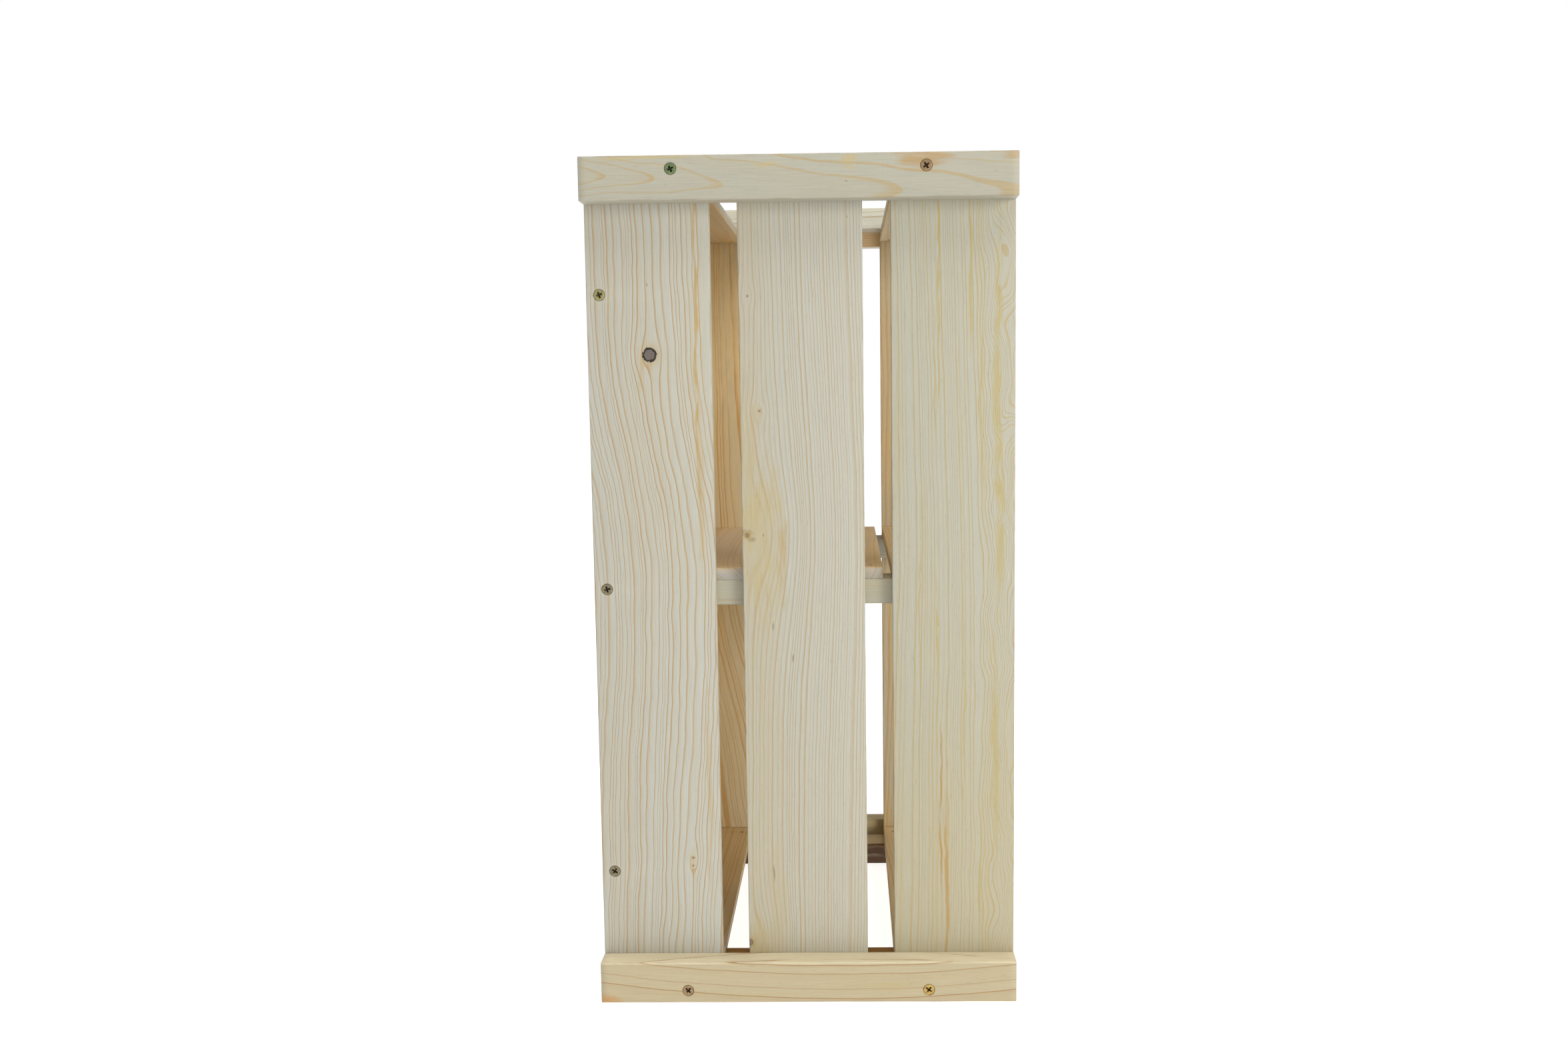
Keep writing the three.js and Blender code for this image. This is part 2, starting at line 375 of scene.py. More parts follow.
class PineNodes(Nodes):
    """The pine of one stick. Places are in millimetres from the stick's middle."""

    def __init__(self, material, size, look):
        super().__init__(material)
        self.look = look
        self.seed = look["seed"]
        self.length, self.width, self.thick = (side / MM for side in size)
        place = self.node("ShaderNodeTexCoord").outputs["Object"]
        self.at = self.scaled(place, 1 / MM)
        self.x, self.y, self.z = self.node("ShaderNodeSeparateXYZ", {0: self.at}).outputs
        self.fibre = self.noise(self.at, FIBRE_SCALE, self.seed + 23, 3.0)
        patch = self.noise(self.at, PATCH_SCALE, self.seed + 13)
        self.patches = self.steps(patch, *PATCH_BAND)
        self.line = self.ring_lines(self.in_log())

    def apart(self, at, stretch=(1.0, 1.0), y=None):
        """(across, distance squared) from a place on the face, with each way divided by a stretch."""
        along = self.math("DIVIDE", self.minus(self.x, at[0]), stretch[0])
        across = self.math("DIVIDE", self.minus(y or self.y, at[1]), stretch[1])
        return across, self.plus(self.times(along, along), self.times(across, across))

    def in_log(self):
        """How far across a straight-grained log each point would lie."""
        look = self.look
        slow = self.times(self.noise(self.at, DRIFT_SCALE, self.seed, 1.0), look["drift"])
        quick = self.times(self.noise(self.at, WOBBLE_SCALE, self.seed + 7), look["wobble"])
        bend = self.times(self.x, self.x, -look["bow"] / BOW_SPAN**2)
        across = self.plus(self.y, self.times(self.x, -look["lean"]), bend, slow, quick)
        for step, begin, full in look["sways"]:
            across = self.minus(across, self.times(self.steps(self.x, begin, full), step))
        ripple, begin, full = look["flame"]
        if ripple:
            wave = self.noise(self.at, FLAME_SCALE, self.seed + 3, 1.0)
            across = self.plus(across, self.times(wave, self.steps(self.y, begin, full), ripple))
        for item in look["knots"]:
            aside, squares = self.apart(item["at"], (item["stretch"], 1.0))
            soft = (item["soft"] * item["flow"]) ** 2
            push = self.math("DIVIDE", self.times(aside, item["flow"] ** 2), self.plus(squares, soft))
            across = self.minus(across, push)
        return across

    def ring_lines(self, across):
        """1 on each dark line and near 0 between them, from the distance to the pith."""
        look = self.look
        aside = self.minus(across, look["pith"][0])
        depth = self.plus(self.times(self.x, look["tilt"]), -look["pith"][1], self.z)
        radius = self.math("SQRT", self.plus(self.times(aside, aside), self.times(depth, depth)))
        place = {"W": self.math("MULTIPLY_ADD", radius, PACE_SCALE, self.seed), "Scale": 1.0}
        pace = self.node("ShaderNodeTexNoise", place, noise_dimensions="1D", normalize=False).outputs[0]
        even = self.math("DIVIDE", radius, look["spacing"])
        years = self.plus(even, self.times(pace, PACE_YEARS))
        season = self.math("FRACT", years)
        year = self.plus(self.math("FLOOR", years), self.seed)
        luck = self.node("ShaderNodeTexWhiteNoise", {"W": year}, noise_dimensions="1D").outputs[0]
        self.strength = self.math("MULTIPLY_ADD", luck, look["luck"], LINE_MOST - look["luck"])
        thin = look["thin"]
        summer = self.times(self.steps(season, SUMMER_FROM, 1 - thin), SUMMER_DARK)
        begin, full = 1 - AUTUMN_FROM * thin, 1 - AUTUMN_FULL * thin
        autumn = self.times(self.steps(season, begin, full), AUTUMN_DARK)
        winter = self.steps(season, 1.0, WINTER_FROM)
        return self.times(self.plus(summer, autumn), winter)

    def ground(self):
        """The pale wood between the lines, with its warmer patches, stained sides, and a side painted
        lighter where light falls on it.
        """
        look = self.look
        made = self.blend(self.times(self.patches, look["blush"]), look["early"], BLUSH)
        share, begin, full, side_colour = look["tint"]
        if share:
            made = self.blend(self.times(self.steps(self.y, begin, full), share), made, side_colour)
        if look["foot"]:
            low = self.steps(self.x, *(end * self.length for end in FOOT_BAND))
            made = self.blend(self.times(low, look["foot"]), made, AMBER)
        return made

    def resin(self, made):
        """Fine streaks of resin everywhere, then each spot of the look: stains, and patches of painted
        light and shade.
        """
        look = self.look
        streaks = self.steps(self.noise(self.at, RESIN_SCALE, self.seed + 19), *RESIN_BAND)
        made = self.blend(self.times(streaks, look["resin"]), made, AMBER)
        if not look["spots"]:
            return made
        torn = self.times(self.noise(self.at, TORN_SCALE, self.seed), TORN_EDGE)
        stray = self.times(self.noise(self.at, STRAY_SCALE, self.seed + 61), STRAY)
        wandering = self.plus(self.y, stray)
        for item in look["spots"]:
            squares = self.plus(self.apart(item["at"], item["size"], wandering)[1], torn)
            share = self.times(self.steps(squares, *SPOT_EDGE), item["share"])
            made = self.blend(share, made, item["tint"])
        return made

    def specks(self, made):
        """Tiny scattered marks, and short dark resin canals along the grain."""
        scattered = {"Vector": self.stretched(self.at, SPECK_SCALE, self.seed), "Scale": 1.0}
        cells = self.node("ShaderNodeTexVoronoi", scattered)
        pick = self.node("ShaderNodeSeparateColor", {0: cells.outputs["Color"]}).outputs[0]
        some = self.math("GREATER_THAN", pick, SPECK_LEFT_OUT)
        self.speck = self.times(self.steps(cells.outputs["Distance"], *SPECK_EDGE), some)
        made = self.blend(self.times(self.speck, SPECK_SHARE), made, SPECK)
        canals = self.steps(self.noise(self.at, CANAL_SCALE, self.seed + 41, 1.0), *CANAL_BAND)
        return self.blend(self.times(canals, CANAL_SHARE), made, DASH)

    def plugs(self, made):
        """Each knot: an orange halo, a plug with rings of its own, and a dark rim round a dead one."""
        begin, full = PLUG_EDGE
        for item in self.look["knots"]:
            disc = item["disc"]
            rough = self.times(self.noise(self.at, PLUG_SCALE, self.seed + 31), PLUG_ROUGH * disc)
            apart = self.plus(self.math("SQRT", self.apart(item["at"])[1]), rough)
            halo = self.times(self.steps(apart, HALO_REACH * disc, disc), HALO_SHARE * item["halo"])
            made = self.blend(halo, made, ORANGE)
            hidden = PLUG_LEAST + (1 - PLUG_LEAST) * item["dark"]
            plug = self.times(self.steps(apart, disc + begin, disc + full), hidden)
            wave = self.math("SINE", self.times(apart, KNOT_RING_PACE))
            rings = self.math("MULTIPLY_ADD", wave, KNOT_RING_DARK, KNOT_SHADE)
            made = self.blend(plug, made, self.blend(rings, KNOT, KNOT_RIM))
            rim = self.times(plug, self.steps(apart, RIM_FROM * disc, RIM_FULL * disc), item["dark"])
            made = self.blend(rim, made, KNOT_RIM)
        return made

    def inside(self, made):
        """The faces that look into the crate are warmer and brighter: partly their fresher wood, partly
        painted warm bounce light.
        """
        begin, full = INNER_BAND
        inner = self.steps(self.z, begin - self.thick / 2, full - self.thick / 2)
        uneven = self.math("MULTIPLY_ADD", self.patches, INNER_UNEVEN, INNER_LEAST)
        share = self.math("MULTIPLY", self.times(inner, uneven), self.look["inside"], clamp=True)
        return self.blend(share, made, self.look["inner"], "MULTIPLY")

    def near(self, axis, side, band):
        """1 at the two faces that lie a side apart on an axis, and 0 further in than the band."""
        return self.steps(self.math("ABSOLUTE", axis), side / 2 - band[0], side / 2 - band[1])

    def worn(self, made):
        """Sawn ends show grey end grain, and handled edges are a little darker in places."""
        self.end = self.near(self.x, self.length, END_DEPTH)
        sawn = self.blend(self.times(self.line, END_LINES), END_GRAIN, LATE)
        made = self.blend(self.times(self.end, END_SHARE), made, sawn)
        beside = self.near(self.y, self.width, ARRIS_BAND)
        below = self.near(self.z, self.thick, ARRIS_BAND)
        rubbed = self.steps(self.noise(self.at, RUBBED_SCALE, self.seed + 51), *RUBBED_BAND)
        edge = self.times(beside, below, rubbed)
        return self.blend(self.times(edge, RUBBED_SHARE), made, BLUSH, "MULTIPLY")

    def finish(self):
        """Joins it all: colour, roughness, and the faint relief that a planing machine leaves."""
        drawn = self.times(self.line, self.strength)
        shown = self.math("MULTIPLY", drawn, self.look["lines"], clamp=True)
        made = self.blend(shown, self.ground(), self.look["late"])
        made = self.specks(self.resin(made))
        made = self.plugs(made)
        if self.look["inside"]:
            made = self.inside(made)
        made = self.worn(made)
        bright = self.math("MULTIPLY_ADD", self.fibre, FIBRE_LIGHT, 1.0)
        shaded = self.scaled(made, bright)
        ridges = self.times(self.math("SINE", self.times(self.x, math.tau / PLANER_PITCH)), PLANER_DEEP)
        grain = self.plus(self.times(self.fibre, FIBRE_BUMP), self.times(self.line, LINE_BUMP))
        height = self.minus(self.plus(grain, ridges), self.speck)
        relief = {"Strength": BUMP_STRENGTH, "Distance": BUMP_HEIGHT, "Height": height}
        uneven = self.plus(self.times(self.fibre, FIBRE_ROUGH), self.times(self.line, LINE_ROUGH))
        rough = self.plus(uneven, self.times(self.end, END_ROUGH), WOOD_ROUGH)
        self.surface(**{
            "Base Color": shaded,
            "Roughness": rough,
            "Normal": self.node("ShaderNodeBump", relief).outputs[0],
            "Specular IOR Level": WOOD_SHINE,
        })


def pine(name, size, look):
    """The material of one stick of a size (length, width, thickness) in metres."""
    material = bpy.data.materials.new(name)
    PineNodes(material, size, look).finish()
    return material


# ---------------------------------------------------------------- timbers

ARRIS = 0.75 * MM  # radius of a planed edge
ARRIS_STEPS = 4
STATION = 5 * MM  # from one ring of points to the next
END_CHAMFER = 0.3 * MM
WEAR = 0.3  # how far slow wear changes an edge's radius
WEAR_EVERY = 6  # stations
NICK_EVERY = 1  # station
NICK_FROM = 0.55  # noise below this leaves no nick
NICK_DEEP = 2.2
TIMBER_CREASE = 50  # degrees


def smooth_noise(rng, count, every):
    """Numbers from -1 to 1 that run smoothly from one random value to the next, every so many steps."""
    knots = [rng.uniform(-1, 1) for _ in range(count // every + 3)]
    made = []
    for i in range(count):
        at, share = divmod(i / every, 1)
        share = share * share * (3 - 2 * share)
        made.append(knots[int(at)] * (1 - share) + knots[int(at) + 1] * share)
    return made


def finished(name, mesh):
    """The mesh data of an edited mesh, with its faces turned outward."""
    bmesh.ops.recalc_face_normals(mesh, faces=mesh.faces)
    data = bpy.data.meshes.new(name)
    mesh.to_mesh(data)
    mesh.free()
    return data


def outline(width, thick, radii, inset):
    """A rectangle in YZ with four rounded corners, each with its own radius."""
    points = []
    half_w, half_t = width / 2 - inset, thick / 2 - inset
    for corner, (sy, sz) in enumerate(((1, 1), (-1, 1), (-1, -1), (1, -1))):
        radius = radii[corner]
        centre_y, centre_z = sy * (half_w - radius), sz * (half_t - radius)
        for step in range(ARRIS_STEPS + 1):
            angle = math.radians(90 * (corner + step / ARRIS_STEPS))
            points.append((centre_y + radius * math.cos(angle), centre_z + radius * math.sin(angle)))
    return points


def stick_mesh(name, size, rng, ragged):
    """A planed stick along X, its edges softened unevenly and its sawn ends lightly broken."""
    length, width, thick = size
    count = max(4, round(length / STATION))
    wear = [smooth_noise(rng, count + 1, WEAR_EVERY) for _ in range(4)]
    nibble = [smooth_noise(rng, count + 1, NICK_EVERY) for _ in range(4)]
    mesh = bmesh.new()
    rings = []
    for i in range(-1, count + 2):
        at = min(max(i, 0), count)
        beyond = i - at  # -1 or 1 on the ring that closes an end, which is smaller by the chamfer
        x = -length / 2 + END_CHAMFER + (length - 2 * END_CHAMFER) * at / count + beyond * END_CHAMFER
        radii = []
        for edge in range(4):
            nick = max(0.0, nibble[edge][at] - NICK_FROM) * ragged * NICK_DEEP
            radii.append(ARRIS * (1 + WEAR * wear[edge][at] + nick))
        corners = outline(width, thick, radii, END_CHAMFER * abs(beyond))
        rings.append([mesh.verts.new((x, y, z)) for y, z in corners])
    for first, second in zip(rings, rings[1:]):
        for i in range(len(first)):
            j = (i + 1) % len(first)
            mesh.faces.new((first[i], first[j], second[j], second[i]))
    mesh.faces.new(list(reversed(rings[0])))
    mesh.faces.new(rings[-1])
    return finished(name, mesh)


def link(name, data, matrix):
    made = bpy.data.objects.new(name, data)
    made.matrix_world = matrix
    bpy.context.scene.collection.objects.link(made)
    return made


def standing(centre, along, out):
    """The place of a piece whose X runs along and whose Z faces out."""
    across = out.cross(along)
    turn = Matrix((along, across, out)).transposed().to_4x4()
    return Matrix.Translation(centre) @ turn


def cut(piece, cutters):
    """Subtracts each closed cutter from the piece for good."""
    for cutter in cutters:
        step = piece.modifiers.new("cut", "BOOLEAN")
        step.operation = "DIFFERENCE"
        step.solver = "EXACT"
        step.object = cutter
    bpy.context.view_layer.update()
    graph = bpy.context.evaluated_depsgraph_get()
    whole = bpy.data.meshes.new_from_object(piece.evaluated_get(graph))
    piece.modifiers.clear()
    whole.name = piece.data.name
    piece.data = whole


def sharpen(piece, degrees):
    """Smooth faces, with a hard edge wherever the surface turns by more than so many degrees."""
    data = bmesh.new()
    data.from_mesh(piece.data)
    for face in data.faces:
        face.smooth = True
    for edge in data.edges:
        angle = edge.calc_face_angle(math.pi)
        edge.smooth = angle < math.radians(degrees)
    data.to_mesh(piece.data)
    data.free()


# ---------------------------------------------------------------- fasteners

HEAD_RADIUS = 3.95 * MM
HEAD_DEPTH = 2.6 * MM
CORE_RADIUS = 1.15 * MM
THREAD_RADIUS = 1.88 * MM
THREAD_PITCH = 1.8 * MM
THREAD_START = 9 * MM  # below the face
THREAD_FADE = 2 * MM  # over which the thread rises to its full height
THREAD_STEPS = 6  # to each pitch
CREST_SLOPE = 4.2
POINT_LONG = 4 * MM
POINT_RADIUS = 0.05 * MM
SHANK_RADIUS = 1.4 * MM
SCREW_AROUND = 32
SCREW_CREASE = 32  # degrees
SLOT_WIDE = 1.35 * MM
SLOT_DEEP = 2.1 * MM
SLOT_REACH = (2.75 * MM, 0.8 * MM)  # at the face and at the bottom
BORE_RADIUS = 2.05 * MM
SINK_RADIUS = 4.15 * MM
CRUSHED_RIM = 0.28 * MM
NAIL_HEAD_RADIUS = 1.6 * MM
NAIL_HEAD_DEPTH = 0.75 * MM
NAIL_RADIUS = 0.8 * MM
NAIL_LENGTH = 20 * MM
NAIL_BORE = 0.95 * MM
NAIL_HEAD_ROOM = 0.12 * MM
NAIL_AROUND = 20
BORE_ABOVE = 2 * MM  # how far a bore's cutter stands past the face
SUNK = 0.2 * MM  # how far a fastener's face lies below the wood's
NAIL_ASIDE = 35 * MM  # from the middle line of a board
BACK_STAGGER = 7 * MM  # from a back lath's middle, to miss the screw in its end


def lathe(name, outline_points, around, hollow=False):
    """Turns (radius, height) points about Z, where a radius may be a function of the angle.

    A hollow shape has its last ring joined to its first.
    """
    mesh = bmesh.new()
    rings = []
    for radius, height in outline_points:
        if radius == 0:
            rings.append([mesh.verts.new((0, 0, height))])
            continue
        ring = []
        for i in range(around):
            angle = math.tau * i / around
            reach = radius(angle) if callable(radius) else radius
            ring.append(mesh.verts.new((reach * math.cos(angle), reach * math.sin(angle), height)))
        rings.append(ring)
    if hollow:
        rings.append(rings[0])
    for first, second in zip(rings, rings[1:]):
        for i in range(around):
            j = (i + 1) % around
            if len(first) == 1:
                mesh.faces.new((first[0], second[i], second[j]))
            elif len(second) == 1:
                mesh.faces.new((first[i], second[0], first[j]))
            else:
                mesh.faces.new((first[i], second[i], second[j], first[j]))
    return finished(name, mesh)


def thread(height, length):
    """The radius round a screw's thread at one height, as a function of the angle."""
    tip = min(1.0, (length + height) / POINT_LONG)
    rise = min(1.0, max(0.0, (-height - THREAD_START) / THREAD_FADE))

    def radius(angle):
        turn = (height / THREAD_PITCH - angle / math.tau) % 1
        crest = max(0.0, 1 - abs(turn - 0.5) * CREST_SLOPE)
        return max(POINT_RADIUS, tip * (CORE_RADIUS + rise * crest * (THREAD_RADIUS - CORE_RADIUS)))

    return radius


def screw_mesh(length):
    """A countersunk wood screw, its face at Z = 0 and its point down."""
    points = [(0, 0), (3.0 * MM, 0), (3.55 * MM, -0.02 * MM), (3.85 * MM, -0.12 * MM)]
    points += [(HEAD_RADIUS, -0.35 * MM), (1.9 * MM, -HEAD_DEPTH + 0.3 * MM)]
    points += [(SHANK_RADIUS, -HEAD_DEPTH - 0.4 * MM), (SHANK_RADIUS, -THREAD_START + 0.6 * MM)]
    steps = round((length - THREAD_START) / (THREAD_PITCH / THREAD_STEPS))
    for i in range(steps):
        height = -THREAD_START - (length - THREAD_START) * i / steps
        points.append((thread(height, length), height))
    points.append((0, -length))
    return lathe("screw", points, SCREW_AROUND)


def slot_cutter(turn):
    """One arm of the cross: a wedge that narrows as it goes down."""
    top, bottom = SLOT_REACH
    corners = []
    upper = (0.5 * MM, top + 0.25 * MM, SLOT_WIDE * 1.1)
    lower = (-SLOT_DEEP, bottom, SLOT_WIDE * 0.7)
    for height, reach, wide in (upper, lower):
        for sx, sy in ((-1, -1), (1, -1), (1, 1), (-1, 1)):
            corners.append((sx * reach, sy * wide / 2, height))
    faces = [(3, 2, 1, 0), (4, 5, 6, 7)]
    faces += [(i, (i + 1) % 4, 4 + (i + 1) % 4, 4 + i) for i in range(4)]
    mesh = bmesh.new()
    verts = [mesh.verts.new(c) for c in corners]
    for face in faces:
        mesh.faces.new([verts[i] for i in face])
    return link("slot", finished("slot", mesh), Matrix.Rotation(turn, 4, "Z"))


def nail_mesh():
    """A wire nail with a flat head, its face at Z = 0."""
    points = [(0, 0), (1.3 * MM, 0), (1.52 * MM, -0.06 * MM), (NAIL_HEAD_RADIUS, -0.2 * MM)]
    points += [(NAIL_HEAD_RADIUS, -0.45 * MM), (NAIL_RADIUS, -NAIL_HEAD_DEPTH)]
    points += [(NAIL_RADIUS, -NAIL_LENGTH + 2 * MM), (0, -NAIL_LENGTH)]
    return lathe("nail", points, NAIL_AROUND)


def bore_mesh(length, screw):
    """The cutter of a fastener's hole, a little wider than it and open past its face."""
    if screw:
        rim = SINK_RADIUS + CRUSHED_RIM
        points = [(0, BORE_ABOVE), (rim, BORE_ABOVE), (rim, SUNK), (SINK_RADIUS, SUNK - 0.35 * MM)]
        points += [(SINK_RADIUS, -0.4 * MM), (BORE_RADIUS, -HEAD_DEPTH)]
        points += [(BORE_RADIUS, -length), (0, -length - 1 * MM)]
        return lathe("bore", points, SCREW_AROUND)
    head = NAIL_HEAD_RADIUS + NAIL_HEAD_ROOM
    points = [(0, BORE_ABOVE), (head, BORE_ABOVE), (head, -NAIL_HEAD_DEPTH - 0.1 * MM)]
    points += [(NAIL_BORE, -NAIL_HEAD_DEPTH - 0.2 * MM), (NAIL_BORE, -length), (0, -length - 0.6 * MM)]
    return lathe("bore", points, NAIL_AROUND)


# ---------------------------------------------------------------- metal

BLOTCH_SCALE = (0.7, 0.7, 0.7)  # waves per millimetre, as for the wood
SCRATCH_SCALE = (0.6, 9.0, 1.0)
BLOTCH_BAND = (-0.3, 0.6)
BLOTCH_DIM = 0.68
HOLLOW_DIM = 0.12
HOLLOW_SHARE = 0.85
HOLLOW_DEPTH = (-0.15, -1.3)  # mm below the head's face, where the darkening begins and where it is full
METAL_BUMP = 0.35
SCRATCH_DEEP = 0.08 * MM
METALLIC = 0.7
ZINC_ROUGH = 0.42
WIRE_ROUGH = 0.5
BLOTCH_ROUGH, SCRATCH_ROUGH = 0.10, 0.08


def metal(name, base, seed, rough):
    """Plated steel: a blotchy finish, fine scratches and a colour that turns darker down in the cross."""
    material = bpy.data.materials.new(name)
    n = Nodes(material)
    place = n.node("ShaderNodeTexCoord").outputs["Object"]
    at = n.scaled(place, 1 / MM)
    height = n.node("ShaderNodeSeparateXYZ", {0: at}).outputs[2]
    blotch = n.noise(at, BLOTCH_SCALE, seed, 3.0)
    scratch = n.noise(at, SCRATCH_SCALE, seed + 5)
    plated = n.blend(n.steps(blotch, *BLOTCH_BAND), base, dimmed(base, BLOTCH_DIM))
    hollow_dark = n.times(n.steps(height, *HOLLOW_DEPTH), HOLLOW_SHARE)
    uneven = n.plus(n.times(blotch, BLOTCH_ROUGH), n.times(scratch, SCRATCH_ROUGH), rough)
    relief = {"Strength": METAL_BUMP, "Distance": SCRATCH_DEEP, "Height": scratch}
    n.surface(**{
        "Base Color": n.blend(hollow_dark, plated, dimmed(base, HOLLOW_DIM)),
        "Roughness": uneven,
        "Metallic": METALLIC,
        "Normal": n.node("ShaderNodeBump", relief).outputs[0],
    })
    return material


GREEN_ZINC = colour(120, 138, 96)
OLIVE_ZINC = colour(164, 156, 108)
BROWN_ZINC = colour(158, 132, 98)
DULL_ZINC = colour(136, 126, 100)
GOLD_ZINC = colour(188, 158, 92)
OLD_WIRE = colour(120, 108, 92)

# Each screw's finish, and how far its cross has been turned, in degrees. The rest are gold.
SCREW_LOOKS = {
    "left_upper_batten_screw_back": (GREEN_ZINC, 24),
    "left_upper_batten_screw_front": (BROWN_ZINC, 33),
    "left_back_lath_screw_upper": (OLIVE_ZINC, 20),
    "left_back_lath_screw_middle": (DULL_ZINC, 14),
    "left_back_lath_screw_lower": (DULL_ZINC, 58),
    "left_lower_batten_screw_back": (BROWN_ZINC, 45),
    "left_lower_batten_screw_front": (GOLD_ZINC, 52),
}

# ---------------------------------------------------------------- how each stick looks

STREAK = wood(188, 150, 84)
HONEY = wood(192, 172, 112)

